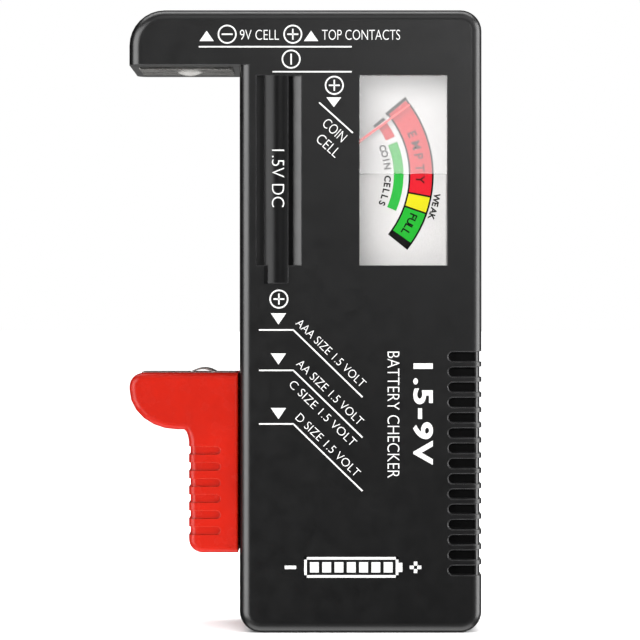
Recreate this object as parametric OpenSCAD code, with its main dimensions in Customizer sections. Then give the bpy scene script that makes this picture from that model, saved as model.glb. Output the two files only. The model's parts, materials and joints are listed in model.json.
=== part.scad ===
// Hand-held battery tester: an L-shaped case with a sliding lower contact and a pointer meter.
// Millimetres. +X is the viewer's right, +Y runs from the front face to the back, +Z is up.
// Depths are measured back from the front face.

/* [Case] */
// Width of the main body
body_w = 42.3; // [41.3:0.5:45]
// Reach of the arm past the body's left side
arm_l = 19.3; // [18:0.5:22]
// Height of the case
case_h = 108.8; // [108:0.05:112]
// Depth of the case from front face to back face
case_d = 24; // [23.5:0.5:26]
// Height of the arm
arm_h = 9.65; // [9.3:0.05:10]
// Radius of the body's corners
corner_r = 3.7; // [3:0.1:4]
// Radius of the arm's outer top corner
arm_corner_r = 6.2; // [6:0.1:7]
// Rounding along the edges of the front and back faces
edge_r = 2; // [1.4:0.2:2.2]
// Thickness of the side walls
wall = 1.8; // [1.5:0.1:2]
// Depth of the seam between the two shells
seam_d = 13.5; // [13.3:0.1:13.7]

/* [Slider] */
// Height of the slider's top face above the case's base at rest
slider_top = 45.35; // [44.5:0.05:46.5]
// Height of the slider from its foot to its top face
slider_h = 31.45; // [30:0.05:32]
// Thickness of the slider from front to back
slider_t = 22; // [20:0.5:22]
// Number of finger grooves
finger_grooves = 6; // [4:1:7]

/* [Meter] */
// Width of the meter window
window_w = 15.3; // [13:0.1:15.5]
// Height of the meter window
window_h = 33.2; // [30:0.1:33.5]
// Angle of the resting pointer above the horizontal
pointer_rest = 36.2; // [34:0.1:38]
// Length of the pointer from its axis to its tip
pointer_l = 20.9; // [19:0.1:21.5]

/* [Grip] */
// Number of grip grooves on the right edge
grip_grooves = 15; // [8:1:15]
// Height of one grip groove
grip_groove_h = 1.84; // [1.6:0.02:2]

/* [Hidden] */
$fn = 64;

// Facets of the round children of a hull, and steps in a quarter round
HULL_FN = 32;
STEPS = 5;
eps = 0.01;
big = 200;

// Case outline
rib_r = 3.4;
rib_d = 2.65;
rib_half = 1.75;
rib_foot = 2.4;
rib_x = -4.76;
rib_rise = rib_r - rib_d;
front_y = (rib_rise - case_d) / 2;
right = (body_w + arm_l) / 2;
left = -right;
body_left = left + arm_l;
arm_bottom = case_h - arm_h;
arm_root = body_left + corner_r + 2;
arm_sweep = arm_corner_r - edge_r;
face_wall = 2;
seam_chamfer = 0.2;
back_wall_d = case_d - face_wall;

// Cell trough, with a rounded rib along its centre: rib_half to each side on the face, and
// rib_foot to the left inside the trough
trough_x = -4.63;
trough_w = 7.82;
trough_depth = 1.6;
trough_r = 9.4;
trough_z = [64.1, 97.25];
pan_wall = 0.9;
pan_d = 3.6;
rib_bottom = 61;

// Window and lens
window_x = right - 6.07 - window_w;
window_z = 64.1;
lens_gap = 0.05;
lens_lip = 1.3;
lens_front_d = 0.15;
lens_back_d = face_wall + 0.8;

// Grip grooves
grip_pitch = 2.66;
grip_z = 10.05;
grip_x = 24.8;
grip_skin_depth = 0.35;
grip_pocket_x = [24.95, 29.7];
grip_pocket_h = grip_groove_h - 0.2;
grip_pocket_depth = 2.2;
grip_pad_t = 1.4;
grip_pad_z = [grip_z - 1, grip_z + grip_pitch * (grip_grooves - 1) + grip_groove_h + 1];

// Slot in the left side for the slider's tongue
slot_d = [11.5, 15.5];
slot_z = [8.9, 89.9];

// Slider
slider_left = left;
slider_right = body_left - 0.3;
slider_d = [(case_d - slider_t) / 2, (case_d + slider_t) / 2];
slider_bottom = slider_top - slider_h;
slider_edge_r = 1.2;
head_h = 9.9;
head_rx = 8.4;
head_rz = 7;
stem_left = -20.4;
finger_pitch = 2.8;
finger_h = 1.4;
finger_top = slider_top - 12.85;
finger_end = -14.85;
tongue_d = [11.8, 15.2];
tongue_z = [22.4, 38.4];
keeper_x = [body_left + wall + 0.4, body_left + wall + 1.6];
keeper_d = [8, 19.5];
keeper_z = [23.4, 37.4];
keeper_screw_z = [26.9, 33.9];
keeper_screw_d = 13.5;
brush_t = 0.25;
strip_t = 0.3;

// Meter: axis of the pointer, and depths of the stack behind the front face
axis_x = 1.5;
axis_z = 80.2;
frame_d = 6.4;
frame_t = 1.2;
dial_t = 0.5;
dial_z = [62.4, 99];
frame_x = [8, 27];
frame_z = [57.9, 99.4];
frame_disc_r = 8.2;
pointer_d = 4.6;
pointer_t = 0.3;
yoke_d = frame_d + frame_t;
yoke_l = 6.4;
yoke_r = [5.5, 7];
core_r = 3.6;
bracket_t = 0.4;
bridge_w = 2.2;
bridge_t = 0.6;
front_bridge_d = 3.2;
rear_bridge_d = 17;
former_in = 4;
former_t = 0.25;
former_w = 2.4;
winding_t = 0.6;
winding_w = 2;
former_d = [yoke_d - 0.5, yoke_d + yoke_l + 0.7];
coil_front_d = former_d[0] - former_t - winding_t;
coil_back_d = former_d[1] + former_t + winding_t;
pivot_r = 0.4;
jewel_r = 0.9;
hairspring_t = 0.35;

// Screws: a shank stands for the thread, 0.05 clear of its pilot hole
housing_screw_xz = [[4, 6.5], [26.1, 6.5], [26.1, 103], [-4.8, 102.4]];
housing_boss_r = 2.7;
housing_shank_r = 1.2;
housing_head_r = 2.1;
housing_head_d = 18;
meter_screw_xz = [[12, 59.9], [24, 59.9], [16, 101.6]];
board_screw_xz = [[6, 28], [23, 42]];
small_shank_r = 0.95;
small_head_r = 1.7;
thread_gap = 0.05;

// Circuit board
board_x = [3, 26];
board_z = [24, 46];
board_d = [15.6, 16.8];
resistor_z = [30.5, 35, 39.5];
pad_xz = [[8.5, 40], [12, 40], [15.5, 38], [19, 36], [12, 28]];
pad_d = 16.95;

// Rail that the slider's brush runs on
rail_x = [-6.6, -6.2];
rail_d = [16, 20];
rail_z = [6, 94];

// Nine-volt contacts
terminal_x = [-17.1, 1.16];
terminal_w = 8.4;
terminal_d = [7, 17];
terminal_t = 0.4;

// Tabs of the contacts that enter the case, and the slots round them
tab_d = [10.5, 13.3];
tab_slot_d = [10.3, seam_d + eps];
tab_gap = 0.1;

// Contact strip under the arm
arm_strip_x = [-29.3, -12.9];
arm_strip_d = [6.2, 17.4];
arm_tab_x = [-13.95, -13.65];
arm_tab_end = -8.6;
arm_dome_x = -20.7;

// Contact strip on the slider, and its tail down into the case
slider_strip_x = [-29, -12.4];
slider_strip_d = [7, 17];
slider_strip_sink = 0.2;
tail_x = [-13.2, -12.9];
tail_d = [12.6, 15.4];
bump_x = -18.2;

// Colours
case_black = [0.12, 0.12, 0.125];
slider_red = [0.86, 0.15, 0.09];
nickel = [0.78, 0.78, 0.76];
brass = [0.80, 0.64, 0.30];
steel = [0.62, 0.63, 0.65];
aluminium = [0.82, 0.83, 0.84];

// A block between low and high values of x, depth and z
module block(x, d, z) {
    translate([x[0], front_y + d[0], z[0]])
        cube([x[1] - x[0], d[1] - d[0], z[1] - z[0]]);
}

// A rod along Y, from depth d[0] to depth d[1]
module rod(x, z, d, r) {
    translate([x, front_y + d[0], z])
        rotate([-90, 0, 0]) cylinder(h = d[1] - d[0], r = r);
}

// Puts a flat outline, drawn in x and z, between two depths
module slab(d) {
    translate([0, front_y + d[1], 0])
        rotate([90, 0, 0]) linear_extrude(d[1] - d[0]) children();
}

// Points of an arc about [cx, cy], from angle a0 to angle a1
function arc(cx, cy, rx, ry, a0, a1, n) =
    [for (k = [0:n]) let (a = a0 + (a1 - a0) * k / n) [cx + rx * cos(a), cy + ry * sin(a)]];

// A disc along Y, from a rounded face at y = 0 back to y = depth, chamfered at its back
module edge_disc(r, depth, fillet, chamfer) {
    rim = arc(r - fillet, fillet, fillet, fillet, -90, 0, STEPS);
    rotate([-90, 0, 0]) rotate_extrude($fn = HULL_FN)
        polygon(concat([[0, 0]], rim, [[r, depth - chamfer], [r - chamfer, depth], [0, depth]]));
}

// Half of the case's outer block: rounded face at y = 0, seam at y = depth
module case_block(depth) {
    hull() {
        for (x = [body_left + corner_r, right - corner_r], z = [corner_r, case_h - corner_r])
            translate([x, 0, z]) edge_disc(corner_r, depth, edge_r, seam_chamfer);
    }
    hull() {
        for (p = arc(left + arm_corner_r, case_h - arm_corner_r, arm_sweep, arm_sweep, 90, 180, 8))
            translate([p[0], 0, p[1]]) edge_disc(edge_r, depth, edge_r, seam_chamfer);
        translate([arm_root, 0, case_h - corner_r])
            edge_disc(corner_r, depth, edge_r, seam_chamfer);
        translate([0, 0, arm_bottom])
            linear_extrude(1) polygon(concat(
                arc(left + edge_r, edge_r, edge_r, edge_r, 180, 270, STEPS),
                [[arm_root, 0], [arm_root, depth]],
                [[left + seam_chamfer, depth], [left, depth - seam_chamfer]]));
    }
}

// Space inside the case between two depths: the body and the arm
module case_cavity(d) {
    block([body_left + wall, right - wall], d, [wall, case_h - wall]);
    block([left + wall, body_left + wall + eps], d, [arm_bottom + wall, case_h - wall]);
}

// Shallow grooves that wrap round the right edge, with a deeper pocket in each on both faces
module grip_cut() {
    core_r = edge_r - grip_skin_depth;
    core_x = right - edge_r;
    core_d = [edge_r, case_d - edge_r];
    difference() {
        for (k = [0:grip_grooves - 1])
            slab([-1, case_d + 1]) groove_outline([grip_x, right + 1], k, grip_groove_h);
        block([0, core_x], [grip_skin_depth, case_d - grip_skin_depth], [0, case_h]);
        block([0, core_x + core_r], core_d, [0, case_h]);
        for (d = core_d)
            translate([core_x, front_y + d, 0]) cylinder(h = case_h, r = core_r);
    }
    for (k = [0:grip_grooves - 1]) {
        slab([-1, grip_pocket_depth]) groove_outline(grip_pocket_x, k, grip_pocket_h);
        slab([case_d - grip_pocket_depth, case_d + 1])
            groove_outline(grip_pocket_x, k, grip_pocket_h);
    }
}

// Groove number k from the bottom, h high, with a round left end
module groove_outline(x, k, h) {
    z = grip_z + k * grip_pitch + grip_groove_h / 2;
    translate([x[0] + h / 2, z - h / 2]) square([x[1] - x[0] - h / 2, h]);
    translate([x[0] + h / 2, z]) circle(d = h);
}

// Pad that backs the grip's pockets, inside a face wall
module grip_pad(d) {
    block([grip_x - 0.8, right - wall + eps], d, grip_pad_z);
}

// Pockets for the nine-volt contacts, and slots for the tabs folded down from their ends
module terminal_cut() {
    for (x = terminal_x) {
        block([x - terminal_w / 2 - tab_gap, x + terminal_w / 2 + tab_gap],
              [terminal_d[0] - tab_gap, terminal_d[1] + tab_gap],
              [case_h - terminal_t, case_h + 1]);
        for (side = [-1, 1])
            translate([x + side * (terminal_w - terminal_t) / 2, 0, 0])
                block([-terminal_t / 2 - tab_gap, terminal_t / 2 + tab_gap], tab_slot_d,
                      [case_h - wall - 1, case_h + 1]);
    }
}

module slot_cut() {
    block([body_left - 1, body_left + wall + 1], slot_d, slot_z);
}

module front_shell() {
    color(case_black) {
        difference() {
            union() {
                difference() {
                    translate([0, front_y, 0]) case_block(seam_d);
                    case_cavity([face_wall, seam_d + 1]);
                }
                block([trough_x - trough_w / 2 - pan_wall, trough_x + trough_w / 2 + pan_wall],
                      [face_wall - 0.5, pan_d], [trough_z[0] - 1.2, trough_z[1] + 1.2]);
                for (p = housing_screw_xz)
                    rod(p[0], p[1], [face_wall - 0.5, seam_d], housing_boss_r);
                for (p = meter_screw_xz)
                    rod(p[0], p[1], [face_wall - 0.5, frame_d], small_head_r + 0.3);
                grip_pad([face_wall - 0.5, face_wall + grip_pad_t]);
            }
            slab([-rib_rise - 1, pan_d - 0.1]) trough_mouth();
            block([window_x, window_x + window_w], [-1, face_wall + 1],
                  [window_z, window_z + window_h]);
            grip_cut();
            terminal_cut();
            slot_cut();
            block([arm_tab_x[0] - tab_gap, arm_tab_x[1] + tab_gap], tab_slot_d,
                  [arm_bottom - 1, arm_bottom + wall + 1]);
            for (p = housing_screw_xz)
                rod(p[0], p[1], [5.4, seam_d + 1], housing_shank_r + thread_gap);
            for (p = meter_screw_xz)
                rod(p[0], p[1], [2.4, frame_d + 1], small_shank_r + thread_gap);
        }
        trough_floor();
        trough_rib();
    }
}

// Outline of the trough's mouth in the front face
module trough_mouth() {
    translate([trough_x - trough_w / 2, trough_z[0]])
        square([trough_w, trough_z[1] - trough_z[0]]);
}

// The trough's floor, hollowed to a shallow arc across its width
module trough_floor() {
    difference() {
        block([trough_x - trough_w / 2 - eps, trough_x + trough_w / 2 + eps], [0, pan_d],
              [trough_z[0] - eps, trough_z[1] + eps]);
        translate([trough_x, front_y + trough_depth - trough_r, trough_z[0] - 1])
            cylinder(h = trough_z[1] - trough_z[0] + 2, r = trough_r);
    }
}

// Rib with a rounded crest and upright sides, from below the trough to its top
module trough_rib() {
    height = trough_z[1] - rib_bottom + eps;
    intersection() {
        translate([rib_x, front_y + rib_d, rib_bottom]) cylinder(h = height, r = rib_r);
        union() {
            block([rib_x - rib_half, rib_x + rib_half], [-rib_rise - 1, pan_d - 0.2],
                  [rib_bottom, rib_bottom + height]);
            block([rib_x - rib_foot, rib_x], [-rib_rise - 1, pan_d - 0.2],
                  [trough_z[0], rib_bottom + height]);
        }
    }
}

module rear_shell() {
    color(case_black) difference() {
        union() {
            difference() {
                translate([0, front_y + case_d, 0])
                    mirror([0, 1, 0]) case_block(case_d - seam_d);
                case_cavity([seam_d - 1, back_wall_d]);
            }
            for (p = housing_screw_xz)
                rod(p[0], p[1], [seam_d, back_wall_d + 1], housing_head_r + 1.1);
            for (p = board_screw_xz)
                rod(p[0], p[1], [board_d[1], back_wall_d + 1], small_head_r + 0.5);
            grip_pad([back_wall_d - grip_pad_t, back_wall_d + 0.5]);
            for (z = [rail_z[0] + strip_t + 0.1, rail_z[1] - strip_t - 3.1])
                block([rail_x[1], rail_x[1] + 3.7], [rail_d[0], back_wall_d + 1], [z, z + 3]);
        }
        grip_cut();
        terminal_cut();
        slot_cut();
        for (p = housing_screw_xz) {
            rod(p[0], p[1], [seam_d - 1, case_d + 1], housing_shank_r + 0.15);
            rod(p[0], p[1], [housing_head_d, case_d + 1], housing_head_r + 0.2);
        }
        for (p = board_screw_xz)
            rod(p[0], p[1], [board_d[1] - 1, back_wall_d - 0.4], small_shank_r + thread_gap);
    }
}

module window_lens() {
    color([0.9, 0.93, 0.95, 0.35]) {
        block([window_x + lens_gap, window_x + window_w - lens_gap],
              [lens_front_d, face_wall + eps],
              [window_z + lens_gap, window_z + window_h - lens_gap]);
        block([window_x - lens_lip, window_x + window_w + lens_lip], [face_wall, lens_back_d],
              [window_z - lens_lip, window_z + window_h + lens_lip]);
    }
}

module dial_plate() {
    color("white") block([8.4, 26.4], [frame_d - dial_t, frame_d], dial_z);
}

// Plate that carries the dial and the movement, screwed to the front shell
module meter_frame() {
    color([0.25, 0.25, 0.27]) difference() {
        union() {
            block(frame_x, [frame_d, yoke_d], frame_z);
            block([13, 19], [frame_d, yoke_d], [frame_z[1] - eps, frame_z[1] + 4.2]);
            block([axis_x, frame_x[0] + eps], [frame_d, yoke_d],
                  [axis_z - frame_disc_r, axis_z + frame_disc_r]);
            rod(axis_x, axis_z, [frame_d, yoke_d], frame_disc_r);
        }
        rod(axis_x, axis_z, [frame_d - 1, yoke_d + 1], yoke_r[0] + 0.1);
        for (p = meter_screw_xz)
            rod(p[0], p[1], [frame_d - 1, yoke_d + 1], small_shank_r + 0.15);
    }
}

// Soft-iron ring that closes the magnet's field
module meter_yoke() {
    color(steel) difference() {
        rod(axis_x, axis_z, [yoke_d, yoke_d + yoke_l], yoke_r[1]);
        rod(axis_x, axis_z, [yoke_d - 1, yoke_d + yoke_l + 1], yoke_r[0]);
    }
}

module core_magnet() {
    color([0.35, 0.35, 0.37]) rod(axis_x, axis_z, [yoke_d, yoke_d + yoke_l], core_r);
}

// Strip across the back of the yoke that holds the core in its centre
module core_bracket() {
    d = yoke_d + yoke_l;
    color(brass) block([axis_x - bridge_w / 2, axis_x + bridge_w / 2], [d, d + bracket_t],
                       [axis_z - yoke_r[1], axis_z + yoke_r[1]]);
}

// A bridge along z over the movement, with a leg at each end and a hole for its jewel
module bridge(d, leg_d) {
    x = [axis_x - bridge_w / 2, axis_x + bridge_w / 2];
    difference() {
        union() {
            block(x, [d, d + bridge_t], [axis_z - yoke_r[1], axis_z + yoke_r[1]]);
            for (side = [-1, 1]) {
                a = axis_z + side * yoke_r[1];
                b = axis_z + side * (yoke_r[1] - 1);
                block(x, leg_d, [min(a, b), max(a, b)]);
            }
        }
        rod(axis_x, axis_z, [d - 1, d + bridge_t + 1], jewel_r + 0.02);
    }
}

module front_bridge() {
    color(brass) bridge(front_bridge_d, [front_bridge_d + bridge_t - eps, frame_d]);
}

module rear_bridge() {
    color(brass) bridge(rear_bridge_d,
                        [yoke_d + yoke_l + bracket_t, rear_bridge_d + eps]);
}

// Jewel screw with a cone seat; tip_d is the depth of its seat's mouth
module jewel(d, tip_d) {
    into = tip_d > d[0] ? 1 : -1;
    difference() {
        rod(axis_x, axis_z, d, jewel_r);
        translate([axis_x, front_y + tip_d + into * eps, axis_z])
            rotate([into * 90, 0, 0]) cylinder(h = 0.5, r1 = 0.5, r2 = 0.05);
    }
}

module front_jewel() {
    color([0.75, 0.15, 0.25]) jewel([2.9, 4.05], 4.05);
}

module rear_jewel() {
    color([0.75, 0.15, 0.25]) jewel([16.75, 17.95], 16.75);
}

// Contact under the arm: a strip with a dome, and a tab that enters the case
module arm_contact() {
    z = arm_bottom;
    dome_r = 5;
    dome_h = 0.7;
    dome_z = z - strip_t - dome_h + dome_r;
    color(nickel) {
        block(arm_strip_x, arm_strip_d, [z - strip_t, z]);
        intersection() {
            translate([arm_dome_x, front_y + case_d / 2, dome_z]) sphere(r = dome_r);
            block(arm_strip_x, [0, case_d], [z - 2, z - strip_t + eps]);
        }
        block(arm_tab_x, tab_d, [z - eps, z + wall + 1.2]);
        block([arm_tab_x[0], arm_tab_end], tab_d, [z + wall + 1.2 - strip_t, z + wall + 1.2]);
    }
}

// One nine-volt contact: a plate in the top face with a tab folded down at each end
module nine_volt_contact(x) {
    top = case_h;
    color(nickel) {
        block([x - terminal_w / 2, x + terminal_w / 2], terminal_d, [top - terminal_t, top]);
        for (side = [-1, 1])
            translate([x + side * (terminal_w - terminal_t) / 2, 0, 0])
                block([-terminal_t / 2, terminal_t / 2], tab_d, [top - 3.4, top - eps]);
    }
}

module nine_volt_negative() { nine_volt_contact(terminal_x[0]); }

module nine_volt_positive() { nine_volt_contact(terminal_x[1]); }

// Brass rail for the slider's brush, folded over a post at each end
module contact_rail() {
    color(brass) {
        block(rail_x, rail_d, rail_z);
        block([rail_x[0], rail_x[1] + 3.5], rail_d, [rail_z[0], rail_z[0] + strip_t]);
        block([rail_x[0], rail_x[1] + 3.5], rail_d, [rail_z[1] - strip_t, rail_z[1]]);
    }
}

// Board with a raised solder pad on its back for each lead
module circuit_board() {
    color([0.10, 0.36, 0.18]) difference() {
        block(board_x, board_d, board_z);
        for (p = board_screw_xz)
            rod(p[0], p[1], [board_d[0] - 1, board_d[1] + 1], small_shank_r + 0.15);
    }
    color(nickel) for (p = pad_xz)
        rod(p[0], p[1], [board_d[1] - eps, pad_d], 1);
}

// Load resistors that lie on the board, with bent wire ends
module resistors() {
    body_r = 1.15;
    body_l = 6.3;
    wire_r = 0.28;
    wire_l = 11;
    mid_x = 14.5;
    d = board_d[0] - body_r - 0.2;
    for (z = resistor_z) {
        color([0.80, 0.70, 0.50]) translate([mid_x - body_l / 2, front_y + d, z])
            rotate([0, 90, 0]) cylinder(h = body_l, r = body_r);
        color(nickel) {
            translate([mid_x - wire_l / 2, front_y + d, z])
                rotate([0, 90, 0]) cylinder(h = wire_l, r = wire_r);
            for (side = [-1, 1]) {
                rod(mid_x + side * wire_l / 2, z, [d, board_d[0]], wire_r);
                translate([mid_x + side * wire_l / 2, front_y + d, z]) sphere(r = wire_r);
            }
        }
    }
}

// A screw driven forwards from the back: round head, cross recess and plain shank
module screw(x, z, head_d, head_t, head_r, shank_r, length) {
    difference() {
        union() {
            rod(x, z, [head_d, head_d + head_t], head_r);
            rod(x, z, [head_d - length, head_d + eps], shank_r);
        }
        for (a = [0, 90])
            translate([x, front_y + head_d + head_t, z]) rotate([0, a, 0])
                cube([head_r * 1.3, head_t, head_r * 0.3], center = true);
    }
}

module housing_screws() {
    color(steel) for (p = housing_screw_xz)
        screw(p[0], p[1], housing_head_d, 1.6, housing_head_r, housing_shank_r, 12);
}

module meter_screws() {
    color(steel) for (p = meter_screw_xz)
        screw(p[0], p[1], yoke_d, 1, small_head_r, small_shank_r, 4.8);
}

module board_screws() {
    color(steel) translate([0, 2 * front_y, 0]) mirror([0, 1, 0])
        for (p = board_screw_xz)
            screw(p[0], p[1], -board_d[0], 1, small_head_r, small_shank_r, 5.4);
}

// Smooth points through a list of route points
function between(a, b, c, d, t) =
    0.5 * (2 * b + (c - a) * t + (2 * a - 5 * b + 4 * c - d) * t * t
           + (3 * b - a - 3 * c + d) * t * t * t);
function smooth(p, n) = let (last = len(p) - 1) concat(
    [for (i = [0:last - 1], k = [0:n - 1])
        between(p[max(i - 1, 0)], p[i], p[i + 1], p[min(i + 2, last)], k / n)], [p[last]]);

// A wire of radius r swept along its route, as rings of 8 points; route points are [x, depth, z]
module wire(route, r) {
    sides = 8;
    up = [0.93, 0.3, 0.2];
    path = [for (p = smooth(route, 4)) [p[0], front_y + p[1], p[2]]];
    last = len(path) - 1;
    rings = [for (i = [0:last])
        let (t = path[min(i + 1, last)] - path[max(i - 1, 0)],
             u = cross(t, up) / norm(cross(t, up)), v = cross(u, t) / norm(t))
        for (k = [0:sides - 1]) let (a = 360 * k / sides) path[i] + r * (cos(a) * u + sin(a) * v)];
    polyhedron(rings, concat(
        [[for (k = [0:sides - 1]) k]],
        [for (i = [0:last - 1], k = [0:sides - 1]) let (n = (k + 1) % sides)
            [i * sides + k, (i + 1) * sides + k, (i + 1) * sides + n, i * sides + n]],
        [[for (k = [sides - 1:-1:0]) last * sides + k]]));
}

wire_r = 0.55;

module arm_lead() {
    color([0.05, 0.05, 0.05]) wire([
        [-10, 13.4, 102.1], [-10, 14.4, 102.1], [-9.4, 16, 102.1], [-8.8, 17.6, 101.1],
        [-8.6, 18.6, 98.7], [-6.5, 19, 96.7], [-3, 19.1, 96.2], [8, 19.4, 94], [20, 19.6, 90],
        [24.5, 19.6, 80], [24.5, 19.6, 60], [22.5, 19.4, 50], [19.3, 19.4, 42],
        [19, 19.2, 38.4], [19, 18.5, 36.4], [19, 17.7, 36], [19, 17, 36]
    ], wire_r);
}

module negative_lead() {
    color([0.05, 0.05, 0.2]) wire([
        [-13.1, 13.4, 105.9], [-13.1, 14.6, 105.9], [-12.6, 17, 104.7], [-10.6, 19, 103.5],
        [-8.9, 20.6, 101.2], [-8.6, 21, 98.8], [-6.5, 21.1, 96.6], [-3, 21.1, 96.2],
        [6, 21.1, 92], [16, 21.1, 84], [21, 21, 72], [21, 20.8, 60], [19, 20, 50],
        [15.8, 19.4, 43], [15.5, 19.2, 40.4], [15.5, 18.5, 38.4], [15.5, 17.7, 38],
        [15.5, 17, 38]
    ], wire_r);
}

module positive_lead() {
    color([0.75, 0.05, 0.05]) wire([
        [5.16, 13.4, 105.9], [5.16, 14.6, 105.9], [6.5, 16.8, 104.7], [11, 17.6, 101],
        [15.5, 17.7, 93], [17.5, 17.8, 82], [17.5, 18, 60], [15, 18.6, 50], [12.3, 19, 44.5],
        [12, 19, 42.2], [12, 18.4, 40.4], [12, 17.7, 40], [12, 17, 40]
    ], wire_r);
}

module rail_lead() {
    color([0.85, 0.70, 0.10]) wire([
        [-2.4, 18, 6.1], [-1.6, 18, 6.3], [-0.9, 18.3, 9], [0, 19, 14], [4, 19.5, 19.5],
        [9.5, 19.4, 23.5], [11.8, 19.2, 26], [12, 18.4, 27.6], [12, 17.7, 28], [12, 17, 28]
    ], wire_r);
}

module meter_lead() {
    color([0.75, 0.05, 0.05]) wire([
        [2.7, 17.3, 75], [3.6, 17.3, 75], [6, 18, 72.5], [7.8, 19.2, 62], [8.3, 19.4, 50],
        [8.5, 19.2, 43], [8.5, 18.4, 40.5], [8.5, 17.7, 40], [8.5, 17, 40]
    ], wire_r);
}

// Slider: pistol-shaped grip with finger grooves, and a tongue that enters the case
module slider_outline() {
    e = slider_edge_r;
    depth = slider_t / 2;
    top = slider_top;
    past = body_left + 4;
    hull() {
        for (k = [0:6]) {
            a = 180 + 15 * k;
            translate([slider_left + head_rx + (head_rx - e) * cos(a), 0,
                       top - head_h + head_rz + (head_rz - e) * sin(a)])
                edge_disc(e, depth, e, 0);
        }
        translate([slider_left + 2.4, 0, top - 2.4]) edge_disc(2.4, depth, e, 0);
        for (z = [top - e, top - head_h + e])
            translate([past, 0, z]) edge_disc(e, depth, e, 0);
    }
    hull() {
        translate([stem_left + 2.4, 0, slider_bottom + 2.4]) edge_disc(2.4, depth, e, 0);
        translate([stem_left + e, 0, top - 5]) edge_disc(e, depth, e, 0);
        for (z = [slider_bottom + e, top - 5])
            translate([past, 0, z]) edge_disc(e, depth, e, 0);
    }
}

module slider_knob() {
    top = slider_top;
    color(slider_red) {
        difference() {
            union() {
                translate([0, front_y + slider_d[0], 0]) slider_outline();
                translate([0, front_y + slider_d[1], 0]) mirror([0, 1, 0]) slider_outline();
                slider_blend();
            }
            block([slider_right, right], [-1, case_d + 1], [0, case_h]);
            slider_corner_cut();
            translate([0, 2 * front_y + case_d, 0]) mirror([0, 1, 0]) slider_corner_cut();
            finger_cut();
            block([slider_right - 6, slider_right + 1], [slider_d[0] + 1.8, tongue_d[0] - 1.2],
                  [slider_bottom + 2, top - 2.6]);
            block([slider_right - 6, slider_right + 1], [tongue_d[1] + 1.2, slider_d[1] - 1.8],
                  [slider_bottom + 2, top - 2.6]);
            contact_cut();
            keeper_screw_cut();
        }
        difference() {
            block([slider_right - 2, keeper_x[0]], tongue_d, tongue_z);
            keeper_screw_cut();
        }
    }
}

// Concave blend from the head's underside to the stem, rounded along its edges like both
module slider_blend() {
    e = slider_edge_r;
    x = stem_left - 1;
    z = slider_top - head_h - 2.8;
    steps = 6;
    edge = [for (j = [0:STEPS]) e * [1 - sin(90 * j / STEPS), 1 - cos(90 * j / STEPS)]];
    rim = concat(edge, [for (j = [STEPS:-1:0]) [edge[j][0], slider_t - edge[j][1]]]);
    n = len(rim) + 2;
    points = [for (k = [0:steps]) let (a = 90 * k / steps, f = 2 * k / steps) concat(
        [for (p = rim) [x + (1.03 + p[0]) * cos(a), p[1], z + (2.83 + p[0]) * sin(a)]],
        [for (y = [slider_t, 0]) [x + 2.5 * min(1, 2 - f), y, z + 4.3 * min(1, f)]])];
    walls = [for (k = [0:steps - 1], i = [0:n - 1]) let (a = k * n, b = a + n, j = (i + 1) % n)
        each [[a + i, a + j, b + j], [a + i, b + j, b + i]]];
    ends = [[for (i = [n - 1:-1:0]) i], [for (i = [0:n - 1]) steps * n + i]];
    translate([0, front_y + slider_d[0], 0])
        polyhedron(points = [for (ring = points) each ring], faces = concat(walls, ends));
}

// Waste outside a small round along the slider's front edge next to the case
module slider_corner_cut() {
    r = 0.6;
    difference() {
        block([slider_right - r, slider_right + 1], [slider_d[0] - 1, slider_d[0] + r], [0, case_h]);
        translate([slider_right - r, front_y + slider_d[0] + r, -1]) cylinder(h = case_h + 2, r = r);
    }
}

// Finger grooves on the stem's front, left side and back
module finger_cut() {
    difference() {
        for (k = [0:finger_grooves - 1])
            slab([0, case_d]) translate([0, finger_top - k * finger_pitch - finger_h]) {
                translate([finger_end - 10, 0]) square([10 - finger_h / 2, finger_h]);
                translate([finger_end - finger_h / 2, finger_h / 2]) circle(d = finger_h);
            }
        block([stem_left + 1.2, right], [slider_d[0] + 0.35, slider_d[1] - 0.35], [0, case_h]);
        block([stem_left + 0.28, right], [slider_d[0] + 1.3, slider_d[1] - 1.3], [0, case_h]);
        for (d = [slider_d[0] + 1.35, slider_d[1] - 1.35])
            translate([stem_left + 1.28, front_y + d, 0]) cylinder(h = case_h, r = 1);
    }
}

// Seat and slot for the contact strip in the slider's top
module contact_cut() {
    block([slider_strip_x[0] - tab_gap, slider_strip_x[1] + tab_gap],
          [slider_strip_d[0] - tab_gap, slider_strip_d[1] + tab_gap],
          [slider_top - slider_strip_sink, slider_top + 1]);
    block([tail_x[0] - 0.15, slider_right + 1], [tail_d[0] - 0.2, tail_d[1] + 0.2],
          [tongue_z[1], slider_top + 1]);
}

// Pilot holes for the two keeper screws, along X
module keeper_screw_cut() {
    for (z = keeper_screw_z)
        translate([slider_right - 2.5, front_y + keeper_screw_d, z])
            rotate([0, 90, 0]) cylinder(h = 8, r = 0.75 + thread_gap);
}

// Contact strip on the slider: flat top, arched bump, and a tail that runs into the case
module slider_contact() {
    top = slider_top - slider_strip_sink;
    tail = tongue_z[1];
    bump_r = 3.8;
    bump_h = 0.7;
    tab_x = keeper_x[1] + brush_t;
    color(nickel) {
        difference() {
            union() {
                block(slider_strip_x, slider_strip_d, [top, top + strip_t]);
                bump(bump_x, top + strip_t, bump_r, bump_h);
            }
            bump(bump_x, top, bump_r, bump_h);
        }
        block(tail_x, tail_d, [tail, top + eps]);
        block([tail_x[0], tab_x + strip_t], tail_d, [tail, tail + strip_t]);
        block([tab_x, tab_x + strip_t], tail_d, [tail - 2.2, tail + eps]);
    }
}

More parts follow.
